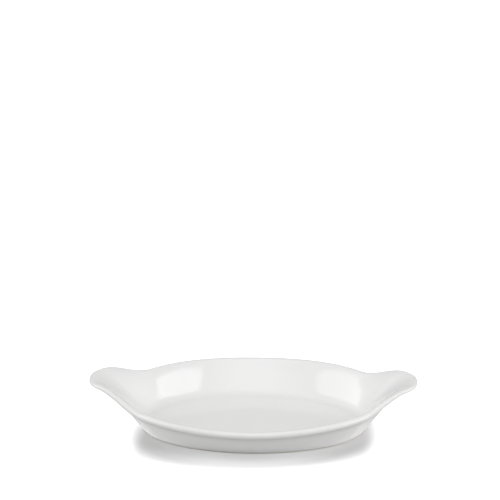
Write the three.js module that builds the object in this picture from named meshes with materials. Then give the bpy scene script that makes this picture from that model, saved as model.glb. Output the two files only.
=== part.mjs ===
// An oval baking dish with an ear at each end. The dish is one pressed and fired ceramic body, with a coat of
// glaze fused over its inside, rim, ears and outside, and a film of glaze under its base. The foot ring between
// the two glazes is bare. Millimetres, +Z up: X runs from ear to ear, Y across, and the foot stands on z = 0.
import * as THREE from "three";

// Outline of the finished dish, measured over its glaze.
const WIDTH = 126; // across the rim at the middle of the dish
const BOWL_LENGTH = 193.4; // along the oval that the rim would follow without its ears
const EAR_REACH = 19.3; // how far an ear stands out of that oval
const EAR_WIDTH = 41.7; // across an ear, halfway along its reach
const EAR_BLUNTNESS = 1.9; // the power that squares an ear's outline off: 1 leaves it pointed
const EAR_LENGTH = 38; // from an ear's tip to where the rim starts to lift
const EAR_FLAT = 6.5; // the level stretch of the rim at an ear's tip
const SIDE_FLARE = 21.5; // from the foot's outer edge out to the rim, at the middle of a long side
const END_FLARE = 18.7; // from the foot's outer edge out to that oval, at its ends

// Heights above the table.
const RIM_HEIGHT = 27.4; // top of the rim where the ears begin
const RIM_DIP = 1.4; // how much lower the rim is at the middle of a long side
const EAR_RISE = 10.6; // how much higher an ear's tip is than the rim where the ears begin
const FOOT_DEPTH = 1.5; // from the table up to the base inside the foot ring

// Thicknesses, over the glaze.
const RIM_WALL = 4.2; // the flared wall where it reaches the rim
const FOOT_WALL = 5; // the same wall where it leaves the foot
const FLOOR = 4; // the floor, from the base up to the well
const BEAD_OVERHANG = 1.1; // how far the rim's round bead stands out past the wall
const EAR_EDGE = 3.2; // the bead where it runs around an ear's tip
const FOOT_RING = 4; // the flat that the dish stands on
const FOOT_EDGE = 1; // the sloping edge outside that flat

// The section of the wall.
const WALL_ANGLE = THREE.MathUtils.degToRad(48); // the flare, from level
const EAR_ANGLE = THREE.MathUtils.degToRad(6); // the upper face of an ear at its tip, from level
const FLOOR_BLEND = 4.5; // the height over which the floor turns up into the wall
const BEND = 0.36; // length of the wall curve's handles, as a share of how far the wall runs out

// The glaze.
const GLAZE = 0.35; // thickness of the coat
const GLAZE_SEAT = 0.05; // clearance between the coat and the body under it
const GLAZE_LINE = 1.1; // height on the outside where the coat stops, above the bare foot
const BASE_MARGIN = 0.8; // bare border between the foot ring and the film of glaze on the base

// How finely the curves are cut into flats.
const AROUND = 68;
const EAR_CROWDING = 0.4; // how much closer the cuts stand at the ears than around the rest
const LEAD_STEPS = 4;
const WALL_STEPS = 9;
const BEAD_STEPS = 8;
const OUTSIDE_STEPS = 6;
const NUDGE = 1e-3; // step of an angle or a share, to measure a slope by

const BEAD_RADIUS = (RIM_WALL + BEAD_OVERHANG) / 2;
const FLOOR_TOP = FOOT_DEPTH + FLOOR;
const FOOT_LENGTH = BOWL_LENGTH - 2 * END_FLARE;
const FOOT_WIDTH = WIDTH - 2 * SIDE_FLARE;
const EAR_TIP = BOWL_LENGTH / 2 + EAR_REACH;
const EAR_ROOT = EAR_TIP - EAR_LENGTH;
const EAR_SHARE = EAR_EDGE / (2 * BEAD_RADIUS); // how thick the rim is at an ear's tip, as a share of the rest of it
// With this power the ear's outline stands at half its reach where it is EAR_WIDTH across.
const EAR_POWER = Math.log(1 - 0.5 ** (1 / EAR_BLUNTNESS)) / Math.log(Math.sqrt(1 - (EAR_WIDTH / WIDTH) ** 2));
const UP = new THREE.Vector3(0, 0, 1);

/** The larger of two heights, with a smooth turn where they lie within a blend of each other. */
function roundedMax(a, b, blend) {
  const share = THREE.MathUtils.clamp(0.5 + (a - b) / (2 * blend), 0, 1);
  return THREE.MathUtils.lerp(b, a, share) + blend * share * (1 - share);
}

/** The rim's bead at an angle around the dish: its middle, its radius, the wall under it, and its lift on an ear. */
function beadAt(angle) {
  const along = Math.cos(angle);
  const bulge = 1 - (1 - Math.abs(along) ** EAR_POWER) ** EAR_BLUNTNESS;
  const reach = BOWL_LENGTH / 2 + EAR_REACH * bulge;
  const out = Math.abs(along) * reach;
  const lift = THREE.MathUtils.smoothstep(out, EAR_ROOT, EAR_TIP - EAR_FLAT);
  const dip = RIM_DIP * (1 - THREE.MathUtils.smoothstep(out, 0, EAR_ROOT));
  const share = THREE.MathUtils.lerp(1, EAR_SHARE, lift);
  const radius = BEAD_RADIUS * share;
  const y = (WIDTH / 2 - radius) * Math.sin(angle);
  const middle = new THREE.Vector3(along * (reach - radius), y, RIM_HEIGHT - radius - dip + EAR_RISE * lift);
  return { middle, radius, wall: RIM_WALL * share, lift };
}

/** The rim at an angle: its bead, the way the wall climbs to it, and the way to the inside of the dish. */
function rimAt(angle) {
  const bead = beadAt(angle);
  const along = beadAt(angle + NUDGE).middle.sub(beadAt(angle - NUDGE).middle).normalize();
  const tilt = THREE.MathUtils.lerp(WALL_ANGLE, EAR_ANGLE, bead.lift);
  const outward = new THREE.Vector3(along.y, -along.x, 0).normalize();
  const climb = outward.multiplyScalar(Math.cos(tilt)).addScaledVector(UP, Math.sin(tilt));
  climb.addScaledVector(along, -climb.dot(along)).normalize();
  return { ...bead, climb, inward: climb.clone().cross(along) };
}

/** The foot's outer edge at an angle, and the way to the inside of the dish off the wall that starts there. */
function footAt(angle) {
  const edge = new THREE.Vector3((FOOT_LENGTH / 2) * Math.cos(angle), (FOOT_WIDTH / 2) * Math.sin(angle), 0);
  const outward = new THREE.Vector3(Math.cos(angle) / FOOT_LENGTH, Math.sin(angle) / FOOT_WIDTH, 0).normalize();
  const inward = outward.clone().multiplyScalar(-Math.sin(WALL_ANGLE)).addScaledVector(UP, Math.cos(WALL_ANGLE));
  return { edge, outward, inward };
}

/** The way along a surface over a level direction, for a surface that faces a given way. */
const over = (facing, way) => way.clone().addScaledVector(UP, -facing.dot(way) / facing.z);

/** The curve of the wall's inner face at an angle, from below the edge of the floor up to the bead. */
function wallCurve(angle) {
  const foot = footAt(angle);
  const rim = rimAt(angle);
  const start = foot.edge.clone().addScaledVector(foot.inward, FOOT_WALL);
  const end = rim.middle.clone().addScaledVector(rim.inward, rim.radius);
  const run = end.clone().sub(start).setZ(0);
  const way = run.clone().normalize();
  const handle = BEND * run.length();
  return new THREE.CubicBezierCurve3(
    start,
    start.clone().addScaledVector(over(foot.inward, way), handle),
    end.clone().addScaledVector(over(rim.inward, way), -handle),
    end,
  );
}

/** The point on the wall's outer face that lies square under its inner face, a share of the way up from the foot. */
function outerFace(angle, share) {
  const around = wallCurve(angle + NUDGE).getPoint(share).sub(wallCurve(angle - NUDGE).getPoint(share));
  const curve = wallCurve(angle);
  const facing = curve.getTangent(share).cross(around).normalize();
  return curve.getPoint(share).addScaledVector(facing, -THREE.MathUtils.lerp(FOOT_WALL, beadAt(angle).wall, share));
}

/** The glazed surface at an angle, from the edge of the floor over the rim and down to the glaze line. */
function glazedSection(angle) {
  const curve = wallCurve(angle);
  const points = [];
  const addInside = (p) => points.push(p.setZ(roundedMax(p.z, FLOOR_TOP, FLOOR_BLEND)));

  // The inner face, led in from below the floor so that the blend runs out level.
  const lead = curve.v1.clone().sub(curve.v0);
  lead.multiplyScalar(FLOOR_BLEND / lead.z);
  for (let i = 0; i < LEAD_STEPS; i++) addInside(curve.v0.clone().addScaledVector(lead, i / LEAD_STEPS - 1));
  for (let i = 0; i <= WALL_STEPS; i++) addInside(curve.getPoint(i / WALL_STEPS));

  // The bead, from the inner face over the top and under to the outer face.
  const { middle, radius, wall, climb, inward } = rimAt(angle);
  const offset = wall - radius;
  const back = Math.sqrt(radius ** 2 - offset ** 2);
  const sweep = Math.PI + Math.atan2(back, offset);
  for (let i = 1; i <= BEAD_STEPS; i++) {
    const turn = (sweep * i) / BEAD_STEPS;
    const spoke = inward.clone().multiplyScalar(Math.cos(turn)).addScaledVector(climb, Math.sin(turn));
    points.push(spoke.multiplyScalar(radius).add(middle));
  }

  // The outer face, from the bead down to the glaze line. A cubic curve starts and ends at three times its handles.
  const top = 1 - back / (3 * curve.v3.clone().sub(curve.v2).dot(climb));
  const bottom = GLAZE_LINE / (3 * (curve.v1.z - curve.v0.z));
  for (let i = 1; i <= OUTSIDE_STEPS; i++) {
    points.push(outerFace(angle, THREE.MathUtils.lerp(top, bottom, i / OUTSIDE_STEPS)));
  }
  return points;
}

/** A point of the foot at an angle: a distance in from its outer edge, at a height. */
function insideFoot(angle, distance, height) {
  const { edge, outward } = footAt(angle);
  return edge.addScaledVector(outward, -distance).setZ(height);
}

/** The bare foot ring at an angle: the two edges of the flat it stands on, and the foot of the base inside it. */
function footSection(angle, baseHeight) {
  return [
    insideFoot(angle, FOOT_EDGE, 0),
    insideFoot(angle, FOOT_EDGE + FOOT_RING, 0),
    insideFoot(angle, FOOT_EDGE + FOOT_RING + baseHeight, baseHeight),
  ];
}

/** The angle of a cut around the dish. */
function cutAngle(i) {
  const even = (2 * Math.PI * i) / AROUND;
  return even - (EAR_CROWDING / 2) * Math.sin(2 * even);
}

/** The rings of points that a section makes as it goes round the dish, from its first point to its last. */
function ringsOf(sectionAt) {
  const sections = Array.from({ length: AROUND }, (_, i) => sectionAt(cutAngle(i)));
  return sections[0].map((_, row) => sections.map((points) => points[row]));
}

/** A closed solid between two poles on the Z axis, through rings of points in order from the first pole. */
function solidThrough(firstHeight, rings, lastHeight) {
  const points = [new THREE.Vector3(0, 0, firstHeight), ...rings.flat(), new THREE.Vector3(0, 0, lastHeight)];
  const at = (row, i) => 1 + row * AROUND + (i % AROUND);
  const lastRow = rings.length - 1;
  const index = [];
  for (let i = 0; i < AROUND; i++) {
    index.push(0, at(0, i), at(0, i + 1));
    for (let row = 0; row < lastRow; row++) {
      const [a, b, c, d] = [at(row, i), at(row + 1, i), at(row + 1, i + 1), at(row, i + 1)];
      const shortWay = points[a].distanceTo(points[c]) < points[b].distanceTo(points[d]);
      index.push(...(shortWay ? [a, b, c, a, c, d] : [a, b, d, b, c, d]));
    }
    index.push(at(lastRow, i), points.length - 1, at(lastRow, i + 1));
  }
  const geometry = new THREE.BufferGeometry().setFromPoints(points).setIndex(index);
  geometry.computeVertexNormals();
  return geometry;
}

const glazedRings = ringsOf(glazedSection);
const finishedRings = [...glazedRings, ...ringsOf((angle) => footSection(angle, FOOT_DEPTH))];
const finishedNormals = solidThrough(FLOOR_TOP, finishedRings, FOOT_DEPTH).getAttribute("normal");

/** The rings of the glazed surface, moved straight in from it by a depth. */
function sunkRings(depth) {
  const facing = new THREE.Vector3();
  return glazedRings.map((ring, row) =>
    ring.map((p, i) => {
      facing.fromBufferAttribute(finishedNormals, 1 + row * AROUND + i);
      return p.clone().addScaledVector(facing, -depth);
    }),
  );
}

/** A named piece of the dish with its own finish. */
function piece(name, geometry, finish) {
  const mesh = new THREE.Mesh(geometry, new THREE.MeshStandardMaterial({ metalness: 0, ...finish }));
  mesh.name = name;
  return mesh;
}

const BODY_DEPTH = GLAZE + GLAZE_SEAT;
const BODY_BASE = FOOT_DEPTH + BODY_DEPTH;

/** The fired body: floor, flared wall, ears, rim bead and foot ring, all of one pressing. */
function ceramicBody() {
  const rings = [...sunkRings(BODY_DEPTH), ...ringsOf((angle) => footSection(angle, BODY_BASE))];
  return piece("ceramic_body", solidThrough(FLOOR_TOP - BODY_DEPTH, rings, BODY_BASE), {
    color: 0xe9e6df,
    roughness: 0.85,
  });
}

/** The glaze that covers the body from the well over the rim and ears, down to the glaze line. */
function glazeCoat() {
  const rings = [...glazedRings, ...sunkRings(GLAZE).reverse()];
  return piece("glaze_coat", solidThrough(FLOOR_TOP, rings, FLOOR_TOP - GLAZE), {
    color: 0xf1f1f0,
    roughness: 0.12,
  });
}

/** The film of glaze on the underside of the base, inside the foot ring. */
function baseGlaze() {
  const inside = FOOT_EDGE + FOOT_RING + BODY_BASE + BASE_MARGIN;
  const rings = ringsOf((angle) => [
    insideFoot(angle, inside, FOOT_DEPTH + GLAZE),
    insideFoot(angle, inside, FOOT_DEPTH),
  ]);
  return piece("base_glaze", solidThrough(FOOT_DEPTH + GLAZE, rings, FOOT_DEPTH), {
    color: 0xf1f1f0,
    roughness: 0.15,
  });
}

const dish = new THREE.Group();
dish.name = "oval_baking_dish";
dish.add(ceramicBody(), glazeCoat(), baseGlaze());

export default dish;
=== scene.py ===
"""An oval baking dish in white glazed ceramic, dressed around its solids in a plain studio.

Metres, +Z up: X runs from ear to ear, Y across the dish, and the foot stands on z = 0.
"""

import logging
import math
from collections.abc import Mapping, Sequence
from dataclasses import asdict, dataclass
from enum import Enum, IntEnum
from typing import Any, Union

import bmesh
import bpy
from mathutils import Matrix, Vector


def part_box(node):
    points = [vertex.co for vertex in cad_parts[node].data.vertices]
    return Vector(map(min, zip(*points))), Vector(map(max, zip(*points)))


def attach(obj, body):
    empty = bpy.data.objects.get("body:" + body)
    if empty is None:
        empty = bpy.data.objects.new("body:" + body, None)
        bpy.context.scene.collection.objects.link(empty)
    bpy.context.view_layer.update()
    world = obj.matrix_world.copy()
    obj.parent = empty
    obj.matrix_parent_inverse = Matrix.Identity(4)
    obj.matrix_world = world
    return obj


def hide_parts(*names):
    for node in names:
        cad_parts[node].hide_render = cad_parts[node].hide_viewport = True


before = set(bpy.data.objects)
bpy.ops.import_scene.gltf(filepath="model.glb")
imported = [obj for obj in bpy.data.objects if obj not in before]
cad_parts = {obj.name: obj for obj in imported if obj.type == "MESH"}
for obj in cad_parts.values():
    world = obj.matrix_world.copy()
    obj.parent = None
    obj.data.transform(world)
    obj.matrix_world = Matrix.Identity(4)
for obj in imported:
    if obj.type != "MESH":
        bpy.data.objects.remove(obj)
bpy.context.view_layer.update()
LOG = logging.getLogger("baking_dish")
MM = 0.001
BODY = "root"
NOISE_MIDDLE = 0.5

Number = Union["Wire", float, int]
Triple = Union["Wire", Vector, Sequence[float]]
Term = Union[Number, Triple]


class Wire:
    """The output socket of a node, on which Python's operators add the nodes for their maths."""

    def __init__(self, tree: "Tree", socket: bpy.types.NodeSocket) -> None:
        """Holds a socket and the tree that it belongs to."""
        self.tree = tree
        self.socket = socket

    def __add__(self, other: Term) -> "Wire":
        """This plus a number or vector."""
        return self.tree.maths("ADD", self, other)

    def __radd__(self, other: Term) -> "Wire":
        """A number or vector plus this."""
        return self.tree.maths("ADD", other, self)

    def __sub__(self, other: Term) -> "Wire":
        """This less a number or vector."""
        return self.tree.maths("SUBTRACT", self, other)

    def __rsub__(self, other: Term) -> "Wire":
        """A number or vector less this."""
        return self.tree.maths("SUBTRACT", other, self)

    def __mul__(self, other: Term) -> "Wire":
        """This times a number or vector."""
        return self.tree.times(self, other)

    def __rmul__(self, other: Term) -> "Wire":
        """A number or vector times this."""
        return self.tree.times(other, self)

    def __truediv__(self, other: Number) -> "Wire":
        """This number divided by another."""
        return self.tree.maths("DIVIDE", self, other)

    def __rtruediv__(self, other: Number) -> "Wire":
        """A number divided by this one."""
        return self.tree.maths("DIVIDE", other, self)

    def __pow__(self, power: Number) -> "Wire":
        """This number to a power."""
        return self.tree.maths("POWER", self, power)

    def __neg__(self) -> "Wire":
        """This number or vector turned round."""
        return self.tree.times(self, -1.0)

    def __abs__(self) -> "Wire":
        """This number without its sign."""
        return self.tree.maths("ABSOLUTE", self)

    def __lt__(self, other: Number) -> "Wire":
        """1 where this number is under another, and 0 elsewhere."""
        return self.tree.maths("LESS_THAN", self, other)


def is_triple(term: Term) -> bool:
    """Whether a term of a sum or product is a vector rather than a number."""
    if isinstance(term, Wire):
        return term.socket.type == "VECTOR"
    return not isinstance(term, (int, float))


class Tree:
    """A node tree, of a shader or of geometry, that is being written."""

    VALUE_RESULTS = ("DOT_PRODUCT", "LENGTH")
    # A Mix node's sockets for colours, by number.
    MIX_A, MIX_B, MIX_RESULT = 6, 7, 2

    def __init__(self, nodes: bpy.types.NodeTree) -> None:
        """Takes over a Blender node tree."""
        self.nodes = nodes

    def node(
        self,
        kind: str,
        settings: Mapping[str, Any] | None = None,
        sockets: Mapping[str | int, Any] | None = None,
    ) -> bpy.types.Node:
        """Adds a node.

        Args:
            kind: The node's type name.
            settings: The node's own properties, which are set first.
            sockets: The value of each input, or the wire linked to it, by its name or number.

        Returns:
            The new node.
        """
        node = self.nodes.nodes.new(kind)
        for name, value in (settings or {}).items():
            setattr(node, name, value)
        for key, value in (sockets or {}).items():
            for wire in value if isinstance(value, list) else [value]:
                if isinstance(wire, Wire):
                    self.nodes.links.new(wire.socket, node.inputs[key])
                else:
                    node.inputs[key].default_value = wire
        return node

    def wire(
        self,
        kind: str,
        settings: Mapping[str, Any] | None = None,
        sockets: Mapping[str | int, Any] | None = None,
        output: str | int = 0,
    ) -> Wire:
        """Adds a node as node does.

        Args:
            kind: The node's type name.
            settings: The node's own properties.
            sockets: The values and wires of its inputs.
            output: The name or number of the output that is wanted.

        Returns:
            That output.
        """
        return Wire(self, self.node(kind, settings, sockets).outputs[output])

    def maths(self, operation: str, *terms: Term) -> Wire:
        """Adds a Math node, or a Vector Math node where a term is a vector.

        Args:
            operation: Blender's name of the operation.
            terms: Its numbers, vectors or wires.

        Returns:
            The result.
        """
        kind = "ShaderNodeVectorMath" if any(map(is_triple, terms)) else "ShaderNodeMath"
        output = "Value" if operation in self.VALUE_RESULTS else 0
        return self.wire(kind, {"operation": operation}, dict(enumerate(terms)), output)

    def times(self, a: Term, b: Term) -> Wire:
        """The product of two numbers or vectors, or of one of each."""
        if is_triple(a) == is_triple(b):
            return self.maths("MULTIPLY", a, b)
        vector, number = (a, b) if is_triple(a) else (b, a)
        scaled = {0: vector, "Scale": number}
        return self.wire("ShaderNodeVectorMath", {"operation": "SCALE"}, scaled)

    def triple(self, x: Number, y: Number, z: Number) -> Wire:
        """A vector of three numbers."""
        return self.wire("ShaderNodeCombineXYZ", sockets={"X": x, "Y": y, "Z": z})

    def up(self, height: Number) -> Wire:
        """The upright vector of a height."""
        return self.triple(0, 0, height)

    def parts(self, vector: Wire) -> tuple[Wire, Wire, Wire]:
        """The three numbers of a vector."""
        node = self.node("ShaderNodeSeparateXYZ", sockets={0: vector})
        return tuple(Wire(self, output) for output in node.outputs)

    def smooth(self, value: Number, low: Number, high: Number) -> Wire:
        """A smooth step of a number, from 0 at a low value to 1 at a high one."""
        ends = {"Value": value, "From Min": low, "From Max": high}
        return self.wire("ShaderNodeMapRange", {"interpolation_type": "SMOOTHSTEP"}, ends)

    def clamp(self, value: Number) -> Wire:
        """A number held between 0 and 1."""
        return self.wire("ShaderNodeClamp", sockets={"Value": value})

    def log(self, value: Number) -> Wire:
        """The natural logarithm of a number."""
        return self.maths("LOGARITHM", value, math.e)

    def normal(self, vector: Wire) -> Wire:
        """A vector made one long."""
        return self.maths("NORMALIZE", vector)

    def mixed(self, share: Number, a: Wire | Sequence[float], b: Wire | Sequence[float]) -> Wire:
        """A colour between two others.

        Args:
            share: How much of the second colour there is, from 0 to 1.
            a: The first colour.
            b: The second colour.

        Returns:
            The mixed colour.
        """
        sockets = {"Factor": share, self.MIX_A: a, self.MIX_B: b}
        return self.wire("ShaderNodeMix", {"data_type": "RGBA"}, sockets, self.MIX_RESULT)


def blend(a: Term, b: Term, share: Number) -> Term:
    """The number or vector that lies a share of the way from one to another."""
    return a + (b - a) * share


class Layer(IntEnum):
    """The layers that the dish is made of, by their number in its node tree."""

    FIRED_BODY = 0
    GLAZE_COAT = 1
    BASE_GLAZE = 2


class Zone(IntEnum):
    """The zones of the finished surface, by their number on its faces."""

    GLAZED = 0
    BARE_FOOT = 1
    BASE = 2


@dataclass(frozen=True)
class DishSizes:
    """The dish's driving sizes over its glaze, in metres, with its two angles in radians."""

    width: float
    bowl_length: float
    rim_height: float
    ear_reach: float = 19.3 * MM
    ear_width: float = 41.7 * MM
    ear_bluntness: float = 1.9
    ear_length: float = 38 * MM
    ear_flat: float = 6.5 * MM
    ear_rise: float = 10.6 * MM
    ear_edge: float = 3.2 * MM
    side_flare: float = 21.5 * MM
    end_flare: float = 18.7 * MM
    rim_dip: float = 1.4 * MM
    foot_depth: float = 1.5 * MM
    rim_wall: float = 4.2 * MM
    foot_wall: float = 5 * MM
    floor: float = 4 * MM
    bead_overhang: float = 1.1 * MM
    foot_ring: float = 4 * MM
    foot_edge: float = 1 * MM
    floor_blend: float = 4.5 * MM
    glaze: float = 0.35 * MM
    glaze_seat: float = 0.05 * MM
    glaze_line: float = 1.1 * MM
    base_margin: float = 0.8 * MM
    wall_angle: float = math.radians(48)
    ear_angle: float = math.radians(6)
    bend: float = 0.36

    @classmethod
    def from_frame(cls) -> "DishSizes":
        """The sizes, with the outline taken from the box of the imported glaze."""
        low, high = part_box("glaze_coat")
        return cls(
            width=high.y - low.y,
            bowl_length=high.x - low.x - 2 * cls.ear_reach,
            rim_height=high.z - cls.ear_rise,
        )


@dataclass(frozen=True)
class Cuts:
    """How finely the surface is cut: columns around the dish, and rows in each stretch of it."""

    around: int = 320
    crowding: float = 0.4
    well: int = 10
    lead: int = 12
    wall: int = 40
    bead: int = 34
    outside: int = 32
    foot: int = 24
    base: int = 6

    @property
    def stretches(self) -> dict[str, int]:
        """The stretches of the section in order, and the rows of each."""
        names = ("well", "lead", "wall", "bead", "outside", "foot", "base")
        return {name: getattr(self, name) for name in names}

    def start(self, stretch: str) -> int:
        """The row at which a stretch starts."""
        names = list(self.stretches)
        return sum(self.stretches[name] for name in names[: names.index(stretch)])

    @property
    def rows(self) -> int:
        """The points along the whole section."""
        return sum(self.stretches.values()) + 1


class DishTree(Tree):
    """The geometry tree of the dish: one rule for its whole surface, which gives each layer."""

    LEVEL = (1.0, 1.0, 0.0)
    ZONE = "zone"
    FACING = "facing"
    THIN = "glaze_thin"
    POOLED = "glaze_pooled"
    FOOT_ROUND = 8.0
    FILM_EDGE = 8
    MERGE = 1e-6
    CREASE = math.radians(40)
    # Where the glaze thins above its line, and where grey painted shade lies under the bead, as
    # shares of the stretches.
    LINE_THINS = (0.9, 1.0)
    POOL_STARTS = (0.45, 0.9)
    POOL_DEPTH = 0.5
    POOL_FADE = 3.0

    def __init__(self, sizes: DishSizes, cuts: Cuts) -> None:
        """Makes the tree, with a named input for each size.

        Args:
            sizes: The sizes, whose names the inputs take.
            cuts: How finely the surface is cut.
        """
        super().__init__(bpy.data.node_groups.new("oval_dish", "GeometryNodeTree"))
        self.cuts = cuts
        self.sockets: dict[str, str] = {}
        face = self.nodes.interface
        for name, value in asdict(sizes).items():
            socket = face.new_socket(name, in_out="INPUT", socket_type="NodeSocketFloat")
            socket.default_value = value
            self.sockets[name] = socket.identifier
        for name, kind in (("layer", "NodeSocketInt"), ("finish", "NodeSocketMaterial")):
            self.sockets[name] = face.new_socket(name, in_out="INPUT", socket_type=kind).identifier
        face.new_socket("dish", in_out="OUTPUT", socket_type="NodeSocketGeometry")
        entry = self.node("NodeGroupInput")
        self.size = {name: Wire(self, entry.outputs[name]) for name in self.sockets}
        self._follow_rule()
        self._finish()

    def _grid(self, rows: int) -> Wire:
        """A sheet of points in columns around the dish, and the fields of each point's place.

        Args:
            rows: The points in each column.

        Returns:
            The sheet, which its first and last columns still divide.
        """
        counts = {"Vertices X": self.cuts.around + 1, "Vertices Y": rows}
        index = self.wire("GeometryNodeInputIndex")
        self.rows = rows
        self.column = self.maths("FLOOR", (index + 0.5) / rows)
        self.row = index - self.column * rows
        even = self.column * (2 * math.pi / self.cuts.around)
        angle = even - self.maths("SINE", even * 2) * (self.cuts.crowding / 2)
        self.cosine = self.maths("COSINE", angle)
        self.sine = self.maths("SINE", angle)
        return self.wire("GeometryNodeMeshGrid", sockets=counts)

    def _beside(self, value: Wire, step: int) -> Wire:
        """A vector of the point in the same row, a number of columns on."""
        column = self.maths("FLOORED_MODULO", self.column + step, self.cuts.around)
        sockets = {"Index": column * self.rows + self.row, "Value": value}
        return self.wire("GeometryNodeFieldAtIndex", {"data_type": "FLOAT_VECTOR"}, sockets)

    def _around(self, value: Wire) -> Wire:
        """The way in which a point moves from column to column."""
        return self._beside(value, 1) - self._beside(value, -1)

    def _share(self, stretch: str) -> Wire:
        """How far along a stretch of the section a row lies: 0 at its start and 1 at its end."""
        return (self.row - self.cuts.start(stretch)) / self.cuts.stretches[stretch]

    def _trace_rim(self) -> None:
        """The rim: its bead and wall, its lift on an ear, and the ways up the wall and inwards."""
        s = self.size
        tip = s["bowl_length"] / 2 + s["ear_reach"]
        root = tip - s["ear_length"]
        slim = s["ear_width"] / s["width"]
        halfway = self.log(1 - self.maths("POWER", 0.5, 1 / s["ear_bluntness"]))
        power = halfway / self.log(self.maths("SQRT", 1 - slim * slim))
        bulge = 1 - (1 - abs(self.cosine) ** power) ** s["ear_bluntness"]
        reach = s["bowl_length"] / 2 + s["ear_reach"] * bulge
        out = abs(self.cosine) * reach
        self.lift = self.smooth(out, root, tip - s["ear_flat"])
        dip = s["rim_dip"] * (1 - self.smooth(out, 0, root))

        bead = s["rim_wall"] + s["bead_overhang"]
        share = blend(1, s["ear_edge"] / bead, self.lift)
        self.wall = s["rim_wall"] * share
        self.radius = bead / 2 * share
        x = self.cosine * (reach - self.radius)
        y = (s["width"] / 2 - self.radius) * self.sine
        height = s["rim_height"] - self.radius - dip + s["ear_rise"] * self.lift
        self.middle = self.triple(x, y, height)

        along = self.normal(self._around(self.middle))
        along_x, along_y, _ = self.parts(along)
        tilt = blend(s["wall_angle"], s["ear_angle"], self.lift)
        outward = self.normal(self.triple(along_y, -along_x, 0))
        climb = outward * self.maths("COSINE", tilt) + self.up(self.maths("SINE", tilt))
        self.climb = self.normal(climb - along * self.maths("DOT_PRODUCT", climb, along))
        self.inward = self.maths("CROSS_PRODUCT", self.climb, along)

    def _trace_foot(self) -> None:
        """The foot: its outer edge, and the way out of it on the level."""
        s = self.size
        length = s["bowl_length"] - s["end_flare"] * 2
        width = s["width"] - s["side_flare"] * 2
        self.edge = self.triple(length / 2 * self.cosine, width / 2 * self.sine, 0)
        self.outward = self.normal(self.triple(self.cosine / length, self.sine / width, 0))

    def _over(self, facing: Wire, way: Wire) -> Wire:
        """The way along a surface over a level direction, for a surface that faces a given way."""
        drop = self.maths("DOT_PRODUCT", facing, way) / self.parts(facing)[2]
        return way - self.up(drop)

    def _trace_wall(self) -> None:
        """The four handles of the curve of the wall's inner face."""
        s = self.size
        level = self.outward * -self.maths("SINE", s["wall_angle"])
        facing = level + self.up(self.maths("COSINE", s["wall_angle"]))
        start = self.edge + facing * s["foot_wall"]
        end = self.middle + self.inward * self.radius
        run = (end - start) * self.LEVEL
        way = self.normal(run)
        handle = s["bend"] * self.maths("LENGTH", run)
        leave = start + self._over(facing, way) * handle
        arrive = end - self._over(self.inward, way) * handle
        self.handles = (start, leave, arrive, end)

    def _wall_point(self, share: Wire) -> Wire:
        """The point of the wall's inner face at a share of its curve."""
        a, b, c, d = self.handles
        rest = 1 - share
        early = a * (rest * rest * rest) + b * (rest * rest * share * 3)
        return early + c * (rest * share * share * 3) + d * (share * share * share)

    def _wall_slope(self, share: Wire) -> Wire:
        """The way along the wall's inner face at a share of its curve."""
        a, b, c, d = self.handles
        rest = 1 - share
        return (b - a) * (rest * rest) + (c - b) * (rest * share * 2) + (d - c) * (share * share)

    def _inside(self, point: Wire) -> Wire:
        """A point of the inner face, raised to the floor with a smooth turn near it."""
        x, y, z = self.parts(point)
        floor = self.size["foot_depth"] + self.size["floor"]
        turn = self.size["floor_blend"]
        share = self.clamp((z - floor) / (turn * 2) + 0.5)
        return self.triple(x, y, blend(floor, z, share) + turn * share * (1 - share))

    def _inside_foot(self, distance: Number, height: Number) -> Wire:
        """A point a distance in from the foot's outer edge, at a height."""
        return self.edge - self.outward * distance + self.up(height)

    def _section(self) -> dict[str, Wire]:
        """Where each stretch of the section lies, for the row of each point.

        Returns:
            The place of a point in each stretch, where the glaze is thin, and where grey painted
            shade lies under the bead.
        """
        s = self.size
        start, leave, arrive, end = self.handles
        rise = self.parts(leave - start)[2]
        lead = (leave - start) * (s["floor_blend"] / rise)
        rim_side = self._inside(start - lead)
        middle = self.up(s["foot_depth"] + s["floor"])

        offset = self.wall - self.radius
        back = self.maths("SQRT", self.radius * self.radius - offset * offset)
        turn = (self.maths("ARCTAN2", back, offset) + math.pi) * self._share("bead")
        spoke = self.inward * self.maths("COSINE", turn) + self.climb * self.maths("SINE", turn)

        top = 1 - back / (self.maths("DOT_PRODUCT", end - arrive, self.climb) * 3)
        bottom = s["glaze_line"] / (rise * 3)
        down = self.clamp(self._share("outside"))
        share = blend(top, bottom, down)
        face = self._wall_point(share)
        across_face = self.maths("CROSS_PRODUCT", self._wall_slope(share), self._around(face))
        facing = self.normal(across_face)
        outside = face - facing * blend(s["foot_wall"], self.wall, share)

        across = self.maths("SINE", (self._share("foot") - 0.5) * math.pi)
        ring_width = s["foot_edge"] + s["foot_ring"] + s["foot_depth"]
        line = self.parts(outside)[2]
        side = blend(s["foot_depth"], line, across < 0)
        ring = blend(outside * self.LEVEL, self._inside_foot(ring_width, 0), (across + 1) / 2)
        base_edge = self._inside_foot(ring_width, s["foot_depth"])
        crest = self.maths("MAXIMUM", self.maths("SINE", turn), 0)
        on_bead = (self.row < self.cuts.start("outside")) - (self.row < self.cuts.start("bead"))
        # Painted shade: grey on the bead's underside and in the groove, fading down the top of the
        # outer wall, and left off the ears.
        under_bead = self.smooth(self._share("bead"), *self.POOL_STARTS)
        groove_shade = under_bead * (1 - self.clamp(down / self.POOL_DEPTH)) ** self.POOL_FADE
        return {
            "well": blend(middle, rim_side, self._share("well")),
            "lead": self._inside(start + lead * (self._share("lead") - 1)),
            "wall": self._inside(self._wall_point(self._share("wall"))),
            "bead": self.middle + spoke * self.radius,
            "outside": outside,
            "foot": ring + self.up(side * abs(across) ** self.FOOT_ROUND),
            "base": blend(base_edge, self.up(s["foot_depth"]), self._share("base")),
            "crest": crest * on_bead,
            "line": self.smooth(down, *self.LINE_THINS),
            "groove": groove_shade * (1 - self.lift),
        }

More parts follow.
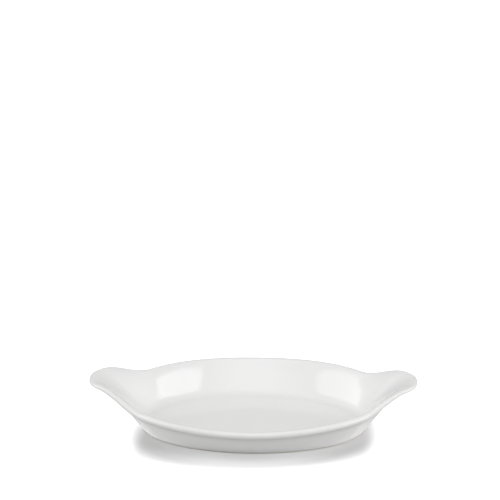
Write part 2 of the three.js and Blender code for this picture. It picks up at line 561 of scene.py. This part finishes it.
    def _placed(self, sheet: Wire, place: Wire) -> Wire:
        """A sheet with its points put in their places, and its faces turned to point outwards."""
        moved = self.wire("GeometryNodeSetPosition", sockets={"Geometry": sheet, "Position": place})
        return self.wire("GeometryNodeFlipFaces", sockets={"Mesh": moved})

    def _closed(self, mesh: Wire) -> Wire:
        """A mesh with its seams and poles closed."""
        sockets = {"Geometry": mesh, "Distance": self.MERGE}
        return self.wire("GeometryNodeMergeByDistance", sockets=sockets)

    def _stored(self, mesh: Wire, name: str, value: Wire, kind: str, domain: str) -> Wire:
        """A mesh with a named attribute.

        Args:
            mesh: The mesh.
            name: The attribute's name.
            value: Its value.
            kind: Blender's name of its type.
            domain: Blender's name of what holds it, a point or a face.

        Returns:
            The mesh that holds it.
        """
        settings = {"data_type": kind, "domain": domain}
        sockets = {"Geometry": mesh, "Name": name, "Value": value}
        return self.wire("GeometryNodeStoreNamedAttribute", settings, sockets)

    def _named(self, name: str, kind: str) -> Wire:
        """The value of a named attribute of a type."""
        return self.wire("GeometryNodeInputNamedAttribute", {"data_type": kind}, {"Name": name})

    def _follow_rule(self) -> None:
        """The whole closed surface of the finished dish, with its zones marked on its faces."""
        sheet = self._grid(self.cuts.rows)
        self._trace_rim()
        self._trace_foot()
        self._trace_wall()
        section = self._section()
        place = section["base"]
        for stretch in reversed(list(self.cuts.stretches)[:-1]):
            end = self.cuts.start(stretch) + self.cuts.stretches[stretch]
            sockets = {"Switch": self.row < end, "False": place, "True": section[stretch]}
            place = self.wire("GeometryNodeSwitch", {"input_type": "VECTOR"}, sockets)
        thin = self.maths("MAXIMUM", section["crest"], section["line"])
        sheet = self._stored(sheet, self.THIN, thin, "FLOAT", "POINT")
        # The painted groove shade, which the glaze's colour reads.
        sheet = self._stored(sheet, self.POOLED, section["groove"], "FLOAT", "POINT")

        strips = self.cuts.rows - 1
        index = self.wire("GeometryNodeInputIndex")
        strip = index - self.maths("FLOOR", (index + 0.5) / strips) * strips
        unglazed = 1 - (strip < self.cuts.start("foot"))
        under = 1 - (strip < self.cuts.start("base"))
        sheet = self._stored(sheet, self.ZONE, unglazed + under, "INT", "FACE")
        skin = self._closed(self._placed(sheet, place))
        normal = self.wire("GeometryNodeInputNormal")
        self.skin = self._stored(skin, self.FACING, normal, "FLOAT_VECTOR", "POINT")

    def _in_zone(self, zone: Zone) -> Wire:
        """1 on the faces of a zone, and 0 elsewhere."""
        return abs(self._named(self.ZONE, "INT") - int(zone)) < 0.5

    def _fired_body(self) -> Wire:
        """The body: the surface, sunk by the glaze where a glaze lies on it."""
        depth = self.size["glaze"] + self.size["glaze_seat"]
        inwards = self._named(self.FACING, "FLOAT_VECTOR") * -depth
        sunk = self.skin
        for zone, offset in ((Zone.GLAZED, inwards), (Zone.BASE, self.up(depth))):
            sockets = {"Geometry": sunk, "Selection": self._in_zone(zone), "Offset": offset}
            sunk = self.wire("GeometryNodeSetPosition", sockets=sockets)
        return sunk

    def _glaze_coat(self) -> Wire:
        """The coat: the glazed surface, and the same moved in by the glaze's thickness."""
        sockets = {"Geometry": self.skin, "Selection": self._in_zone(Zone.GLAZED)}
        face = self.wire("GeometryNodeSeparateGeometry", {"domain": "FACE"}, sockets)
        inwards = self._named(self.FACING, "FLOAT_VECTOR") * -1.0
        sockets = {
            "Mesh": face,
            "Offset": inwards,
            "Offset Scale": self.size["glaze"],
            "Individual": False,
        }
        back = self.wire("GeometryNodeExtrudeMesh", {"mode": "FACES"}, sockets)
        back = self.wire("GeometryNodeFlipFaces", sockets={"Mesh": back})
        both = self.wire("GeometryNodeJoinGeometry", sockets={"Geometry": [face, back]})
        return self._closed(both)

    def _base_glaze(self) -> Wire:
        """The film on the base: a thin oval sheet with a round edge."""
        s = self.size
        # A row at each pole, and one more row round the edge than it has cuts.
        sheet = self._grid(self.FILM_EDGE + 3)
        self._trace_foot()
        half = s["glaze"] / 2
        body_base = s["foot_depth"] + s["glaze"] + s["glaze_seat"]
        inset = s["foot_edge"] + s["foot_ring"] + body_base + s["base_margin"]
        turn = (0.5 - (self.row - 1) / self.FILM_EDGE) * math.pi
        bulge = half * (1 - self.maths("COSINE", turn))
        height = s["foot_depth"] + half + half * self.maths("SINE", turn)
        place = self._inside_foot(inset + bulge, height)
        pole = self.up(blend(s["foot_depth"], s["foot_depth"] + s["glaze"], self.row < 1))
        at_edge = (self.row < self.FILM_EDGE + 2) - (self.row < 1)
        return self._closed(self._placed(sheet, blend(pole, place, at_edge)))

    def _finish(self) -> None:
        """The chosen layer, smooth between its creases and in its finish, as the tree's result."""
        layers = [self._fired_body(), self._glaze_coat(), self._base_glaze()]
        choice = self.node("GeometryNodeIndexSwitch", {"data_type": "GEOMETRY"})
        choice.index_switch_items.new()
        self.nodes.links.new(self.size["layer"].socket, choice.inputs["Index"])
        for number, layer in enumerate(layers):
            self.nodes.links.new(layer.socket, choice.inputs[1 + number])
        mesh = Wire(self, choice.outputs[0])
        crease = self.wire("GeometryNodeInputMeshEdgeAngle") < self.CREASE
        sockets = {"Geometry": mesh, "Shade Smooth": crease}
        mesh = self.wire("GeometryNodeSetShadeSmooth", {"domain": "EDGE"}, sockets)
        mesh = self.wire("GeometryNodeRealizeInstances", sockets={0: mesh})
        sockets = {0: mesh, "Material": self.size["finish"]}
        mesh = self.wire("GeometryNodeSetMaterial", sockets=sockets)
        self.node("NodeGroupOutput", sockets={0: mesh})


def new_shader(name: str) -> tuple[bpy.types.Material, Tree]:
    """An empty material and its node tree."""
    material = bpy.data.materials.new(name)
    material.use_nodes = True
    material.node_tree.nodes.clear()
    return material, Tree(material.node_tree)


@dataclass(frozen=True)
class GlazeFinish:
    """White gloss glaze: thin on the rim, with grey painted shade under the bead and down the top
    of the outer wall, and slow ripples.
    """

    name: str = "white_gloss_glaze"
    white: tuple[float, ...] = (0.86, 0.86, 0.857, 1)
    thin_white: tuple[float, ...] = (0.83, 0.825, 0.81, 1)
    thin_share: float = 0.35
    # Painted shade: the grey laid under the bead.
    pooled: tuple[float, ...] = (0.6, 0.6, 0.6, 1)
    cloud_scale: float = 28.0
    cloud_share: float = 0.12
    noise_detail: float = 2.0
    gloss: float = 0.07
    gloss_spread: float = 0.03
    gloss_scale: float = 90.0
    ripple_scale: float = 55.0
    ripple_depth: float = 0.05 * MM
    ripple_strength: float = 0.25
    index: float = 1.5

    def material(self) -> bpy.types.Material:
        """The finish as a material."""
        material, tree = new_shader(self.name)
        place = tree.wire("ShaderNodeTexCoord", output="Object")

        def noise(scale: float) -> Wire:
            """A soft random pattern, with a number of waves to a metre."""
            sockets = {"Vector": place, "Scale": scale, "Detail": self.noise_detail}
            return tree.wire("ShaderNodeTexNoise", sockets=sockets)

        def marked(name: str) -> Wire:
            """The value of an attribute of the dish."""
            return tree.wire("ShaderNodeAttribute", {"attribute_name": name}, output="Fac")

        clouds = noise(self.cloud_scale) * self.cloud_share
        share = tree.clamp(marked(DishTree.THIN) * self.thin_share + clouds)
        colour = tree.mixed(share, self.white, self.thin_white)
        # Painted shade: the groove's grey mixed over the glaze's white.
        colour = tree.mixed(marked(DishTree.POOLED), colour, self.pooled)
        rough = noise(self.gloss_scale) * self.gloss_spread + (self.gloss - self.gloss_spread / 2)
        ripples = {
            "Height": noise(self.ripple_scale),
            "Strength": self.ripple_strength,
            "Distance": self.ripple_depth,
        }
        normal = tree.wire("ShaderNodeBump", sockets=ripples)
        sockets = {"Base Color": colour, "Roughness": rough, "IOR": self.index, "Normal": normal}
        shader = tree.wire("ShaderNodeBsdfPrincipled", sockets=sockets)
        tree.node("ShaderNodeOutputMaterial", sockets={"Surface": shader})
        return material


@dataclass(frozen=True)
class BiscuitFinish:
    """Bare fired body: matt, cream and finely grained, rubbed grey where it has stood."""

    name: str = "bare_fired_body"
    cream: tuple[float, ...] = (0.78, 0.745, 0.67, 1)
    rubbed: tuple[float, ...] = (0.55, 0.53, 0.49, 1)
    rubbed_share: float = 0.7
    rubbed_height: float = 0.25 * MM
    patch_scale: float = 120.0
    patch_edge: tuple[float, float] = (0.4, 0.7)
    grain_scale: float = 1800.0
    grain_share: float = 0.3
    grain_depth: float = 0.05 * MM
    grain_strength: float = 0.5
    rough: float = 0.82
    rough_spread: float = 0.12

    def material(self) -> bpy.types.Material:
        """The finish as a material."""
        material, tree = new_shader(self.name)
        place = tree.wire("ShaderNodeTexCoord", output="Object")

        def noise(scale: float) -> Wire:
            """A random pattern, with a number of waves to a metre."""
            return tree.wire("ShaderNodeTexNoise", sockets={"Vector": place, "Scale": scale})

        grain, patch = noise(self.grain_scale), noise(self.patch_scale)
        low = 1 - tree.smooth(tree.parts(place)[2], 0, self.rubbed_height)
        rubbed = low * tree.smooth(patch, *self.patch_edge)
        speckle = grain - NOISE_MIDDLE
        speckled = tree.clamp(rubbed * self.rubbed_share + speckle * self.grain_share)
        relief = {"Height": grain, "Strength": self.grain_strength, "Distance": self.grain_depth}
        sockets = {
            "Base Color": tree.mixed(speckled, self.cream, self.rubbed),
            "Roughness": speckle * self.rough_spread + self.rough,
            "Normal": tree.wire("ShaderNodeBump", sockets=relief),
        }
        shader = tree.wire("ShaderNodeBsdfPrincipled", sockets=sockets)
        tree.node("ShaderNodeOutputMaterial", sockets={"Surface": shader})
        return material


@dataclass(frozen=True)
class TableFinish:
    """White table that shows white to the camera beyond a painted shadow outline round the foot,
    inside which the dish's ray-traced shadow shows.

    Painted light makes the shadow lighter in front of the dish and at the foot. Mirrored in the
    glaze, the table glows lighter too, most of all along the foot: a painted reflection.
    """

    name: str = "white_table"
    white: tuple[float, ...] = (0.69, 0.69, 0.69, 1)
    shadow_middle: tuple[float, float, float] = (1 * MM, -17 * MM, 0.0)
    shadow_reach: tuple[float, float, float] = (91 * MM, 49 * MM, 1.0)
    shadow_lean: float = 0.047
    shadow_edge: tuple[float, float] = (0.84, 1.26)
    shadow_ends: tuple[float, float] = (76 * MM, 100 * MM)
    # Painted light in the shadow: in front of the dish and at the foot.
    front: tuple[float, float] = (20 * MM, 75 * MM)
    front_lift: float = 0.22
    contact_lift: float = 0.1
    lift: float = 1.0
    # Painted reflection: the glow along the foot, seen only in the glaze.
    foot_reach: tuple[float, float, float] = (78 * MM, 41.5 * MM, 1.0)
    foot_edge: tuple[float, float] = (1.0, 1.2)
    foot_lift: float = 0.6
    foot_ends: tuple[float, float] = (60 * MM, 105 * MM)
    mirror_lift: float = 0.25
    mirror_fade: tuple[float, float] = (0.5, 1.5)

    def material(self) -> bpy.types.Material:
        """The finish as a material."""
        material, tree = new_shader(self.name)
        place = tree.wire("ShaderNodeTexCoord", output="Object")
        path = tree.node("ShaderNodeLightPath")
        rays = ("Is Camera Ray", "Is Glossy Ray", "Is Transmission Ray")
        camera, glossy, through = (Wire(tree, path.outputs[ray]) for ray in rays)

        def oval(offset: Wire, radii: Sequence[float]) -> Wire:
            """How far out of an oval a place is: 1 is on its edge."""
            return tree.maths("LENGTH", tree.maths("DIVIDE", offset, radii))

        # Painted shadow outline: inside this leaning oval the camera's glow drops away so the
        # ray-traced shadow shows, and painted light lifts it in front of the dish and at the foot.
        from_middle = place - self.shadow_middle
        along = tree.parts(from_middle)[0]
        from_middle -= tree.triple(0, along * self.shadow_lean, 0)
        within = 1 - tree.smooth(oval(from_middle, self.shadow_reach), *self.shadow_edge)
        within *= 1 - tree.smooth(abs(along), *self.shadow_ends)
        aside = abs(tree.parts(place)[0])
        ahead = 1 - tree.smooth(aside, *self.front)
        at_foot = 1 - tree.smooth(oval(place, self.foot_reach), *self.foot_edge)
        shadow_glow = ahead * self.front_lift + at_foot * self.contact_lift
        shown = blend(self.lift, shadow_glow, within)
        # Painted reflection: in the glaze the table glows evenly nearby, and brightest along the
        # foot, over its shadow.
        near = 1 - tree.smooth(tree.maths("LENGTH", place), *self.mirror_fade)
        along_foot = at_foot * (1 - tree.smooth(aside, *self.foot_ends))
        mirrored = near * (along_foot * self.foot_lift + self.mirror_lift)
        lift = camera * shown + tree.clamp(glossy + through) * mirrored
        lit = tree.wire("ShaderNodeBsdfDiffuse", sockets={"Color": self.white})
        glow = tree.wire("ShaderNodeEmission", sockets={"Strength": lift})
        both = tree.wire("ShaderNodeAddShader", sockets={0: lit, 1: glow})
        tree.node("ShaderNodeOutputMaterial", sockets={"Surface": both})
        return material


class Piece(Enum):
    """The dish's pieces: the layer that each is, and the solid and slot that it stands for."""

    FIRED_CERAMIC = (Layer.FIRED_BODY, "ceramic_body", "fired_body")
    WHITE_GLAZE = (Layer.GLAZE_COAT, "glaze_coat", "white_glaze")
    UNDERSIDE_GLAZE = (Layer.BASE_GLAZE, "base_glaze", "white_glaze")


@dataclass
class OvalDish:
    """The dish: one pressed body under two glazes."""

    sizes: DishSizes
    cuts: Cuts
    glaze: GlazeFinish
    biscuit: BiscuitFinish

    def build(self) -> dict[Piece, bpy.types.Object]:
        """Makes the mesh of each layer, in its finish.

        Returns:
            The object of each piece.
        """
        tree = DishTree(self.sizes, self.cuts)
        glaze = self.glaze.material()
        finishes = {
            Piece.FIRED_CERAMIC: self.biscuit.material(),
            Piece.WHITE_GLAZE: glaze,
            Piece.UNDERSIDE_GLAZE: glaze,
        }
        return {piece: self._layer(tree, piece, finish) for piece, finish in finishes.items()}

    def _layer(self, tree: DishTree, piece: Piece, finish: bpy.types.Material) -> bpy.types.Object:
        """Makes one layer.

        Args:
            tree: The dish's geometry tree.
            piece: The piece that is made.
            finish: Its material.

        Returns:
            An object with the layer as a plain mesh.
        """
        name = piece.name.lower()
        made = bpy.data.objects.new(name, bpy.data.meshes.new(name))
        bpy.context.scene.collection.objects.link(made)
        modifier = made.modifiers.new("dish", "NODES")
        modifier.node_group = tree.nodes
        for size, value in asdict(self.sizes).items():
            modifier[tree.sockets[size]] = value
        modifier[tree.sockets["layer"]] = int(piece.value[0])
        modifier[tree.sockets["finish"]] = finish
        graph = bpy.context.evaluated_depsgraph_get()
        mesh = bpy.data.meshes.new_from_object(
            made.evaluated_get(graph), preserve_all_data_layers=True, depsgraph=graph
        )
        made.modifiers.remove(modifier)
        made.data = mesh
        mesh.name = name
        return made

    def dress(self, pieces: dict[Piece, bpy.types.Object]) -> None:
        """Sets each piece in place of its solid, on the body that carries it.

        Args:
            pieces: The object of each piece.
        """
        for piece, made in pieces.items():
            _, solid, slot = piece.value
            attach(made, BODY)
            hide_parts(solid)
            LOG.info("%s: %d faces, for %s", made.name, len(made.data.polygons), solid)


def heading(azimuth: float, elevation: float) -> Vector:
    """The direction at an azimuth and an elevation, in degrees."""
    a, e = math.radians(azimuth), math.radians(elevation)
    return Vector((math.cos(a) * math.cos(e), math.sin(a) * math.cos(e), math.sin(e)))


@dataclass(frozen=True)
class Softbox:
    """A rectangular studio light that faces the dish."""

    name: str
    azimuth: float
    elevation: float
    distance: float
    width: float
    height: float
    spin: float
    watts: float

    def hang(self) -> bpy.types.Object:
        """Hangs the light where its angles and distance say."""
        away = heading(self.azimuth, self.elevation)
        lamp = bpy.data.lights.new(self.name, "AREA")
        lamp.shape = "RECTANGLE"
        lamp.size = self.width
        lamp.size_y = self.height
        lamp.energy = self.watts
        hung = bpy.data.objects.new(self.name, lamp)
        hung.location = away * self.distance
        hung.rotation_euler = away.to_track_quat("Z", "Y").to_euler()
        hung.rotation_euler.rotate_axis("Z", math.radians(self.spin))
        hung.visible_camera = False
        bpy.context.scene.collection.objects.link(hung)
        return hung


@dataclass(frozen=True)
class Glow:
    """A soft part of the room's light, brightest in one direction and narrower when sharper."""

    name: str
    azimuth: float
    elevation: float
    sharpness: float
    strength: float

    def level(self, tree: Tree, way: Wire) -> Wire:
        """How bright it is.

        Args:
            tree: The node tree of the world.
            way: The direction that is looked in.

        Returns:
            Its brightness in that direction.
        """
        facing = tree.maths("DOT_PRODUCT", way, heading(self.azimuth, self.elevation))
        return tree.maths("MAXIMUM", facing, 0) ** self.sharpness * self.strength


@dataclass
class Studio:
    """The table that the dish stands on, and the light around it."""

    table: TableFinish
    softboxes: tuple[Softbox, ...]
    glows: tuple[Glow, ...]
    radius: float = 4.0
    sides: int = 96

    def build(self) -> None:
        """Makes the round table, the lights and the soft light of the room."""
        mesh = bpy.data.meshes.new("table")
        shape = bmesh.new()
        bmesh.ops.create_circle(shape, cap_ends=True, segments=self.sides, radius=self.radius)
        shape.to_mesh(mesh)
        shape.free()
        mesh.materials.append(self.table.material())
        table = bpy.data.objects.new("table", mesh)
        bpy.context.scene.collection.objects.link(table)
        for softbox in self.softboxes:
            softbox.hang()
            LOG.info("%s: %.1f W", softbox.name, softbox.watts)
        world = bpy.data.worlds.new("room")
        world.use_nodes = True
        world.node_tree.nodes.clear()
        tree = Tree(world.node_tree)
        way = tree.wire("ShaderNodeTexCoord", output="Generated")
        camera = tree.wire("ShaderNodeLightPath", output="Is Camera Ray")
        level = blend(sum(glow.level(tree, way) for glow in self.glows), 1, camera)
        soft = tree.wire("ShaderNodeBackground", sockets={"Color": (1, 1, 1, 1), "Strength": level})
        tree.node("ShaderNodeOutputWorld", sockets={"Surface": soft})
        bpy.context.scene.world = world


@dataclass(frozen=True)
class PhotoCamera:
    """The photograph's viewing angle: degrees, and pixels in its 500 by 500 frame."""

    elevation: float = 26.4
    azimuth: float = 3.14
    roll: float = -0.7
    distance: float = 1.5
    aim_height: float = 0.015
    pixels_per_metre: float = 1405.9
    aim_pixel: tuple[float, float] = (251.34, 407.66)
    frame_pixels: float = 500.0
    sensor: float = 36.0

    def place(self) -> None:
        """Makes the scene's camera, so that the middle of the dish falls on its pixel."""
        focal = self.pixels_per_metre * self.distance
        e, a = math.radians(self.elevation), math.radians(self.azimuth)
        back = Vector((math.sin(a) * math.cos(e), -math.cos(a) * math.cos(e), math.sin(e)))
        right_of_middle, below_middle = (pixel - self.frame_pixels / 2 for pixel in self.aim_pixel)
        look_down = e - math.atan2(below_middle, focal)
        look_round = a + math.atan2(right_of_middle, focal) / math.cos(look_down)
        ahead = Vector(
            (
                -math.sin(look_round) * math.cos(look_down),
                math.cos(look_round) * math.cos(look_down),
                -math.sin(look_down),
            )
        )
        right = ahead.cross(Vector((0, 0, 1))).normalized()
        up = right.cross(ahead)
        axes = Matrix((right, up, -ahead)).transposed().to_4x4()
        lens = bpy.data.cameras.new("photo_camera")
        lens.sensor_width = self.sensor
        lens.lens = focal * self.sensor / self.frame_pixels
        camera = bpy.data.objects.new("photo_camera", lens)
        place = Matrix.Translation(Vector((0, 0, self.aim_height)) + back * self.distance)
        camera.matrix_world = place @ axes @ Matrix.Rotation(math.radians(self.roll), 4, "Z")
        bpy.context.scene.collection.objects.link(camera)
        bpy.context.scene.camera = camera


SOFTBOXES = (
    Softbox(
        "left_softbox",
        azimuth=-167.0, elevation=33.0, distance=1.4,
        width=1.28, height=0.55, spin=32.0, watts=4.4,
    ),
    Softbox(
        "right_softbox",
        azimuth=-25.8, elevation=38.1, distance=1.4,
        width=1.17, height=0.55, spin=-33.6, watts=6.4,
    ),
)
GLOWS = (
    Glow("front_ceiling", azimuth=-90, elevation=60, sharpness=12, strength=2.0),
    Glow("left_ceiling", azimuth=180, elevation=50, sharpness=6, strength=0.67),
    Glow("left_screen", azimuth=180, elevation=28, sharpness=12, strength=0.79),
    Glow("left_wall", azimuth=180, elevation=5, sharpness=6, strength=0.84),
    Glow("right_wall", azimuth=0, elevation=5, sharpness=6, strength=2.05),
    Glow("right_corner", azimuth=-35, elevation=8, sharpness=10, strength=0.35),
    Glow("back_wall", azimuth=90, elevation=5, sharpness=4, strength=0.44),
)


def main() -> None:
    """Builds the dish, its studio and its camera in order."""
    logging.basicConfig(level=logging.INFO, format="%(name)s: %(message)s")
    bpy.context.scene.view_settings.view_transform = "Standard"
    dish = OvalDish(DishSizes.from_frame(), Cuts(), GlazeFinish(), BiscuitFinish())
    dish.dress(dish.build())
    Studio(TableFinish(), SOFTBOXES, GLOWS).build()
    PhotoCamera().place()


if __name__ == "__main__":
    main()
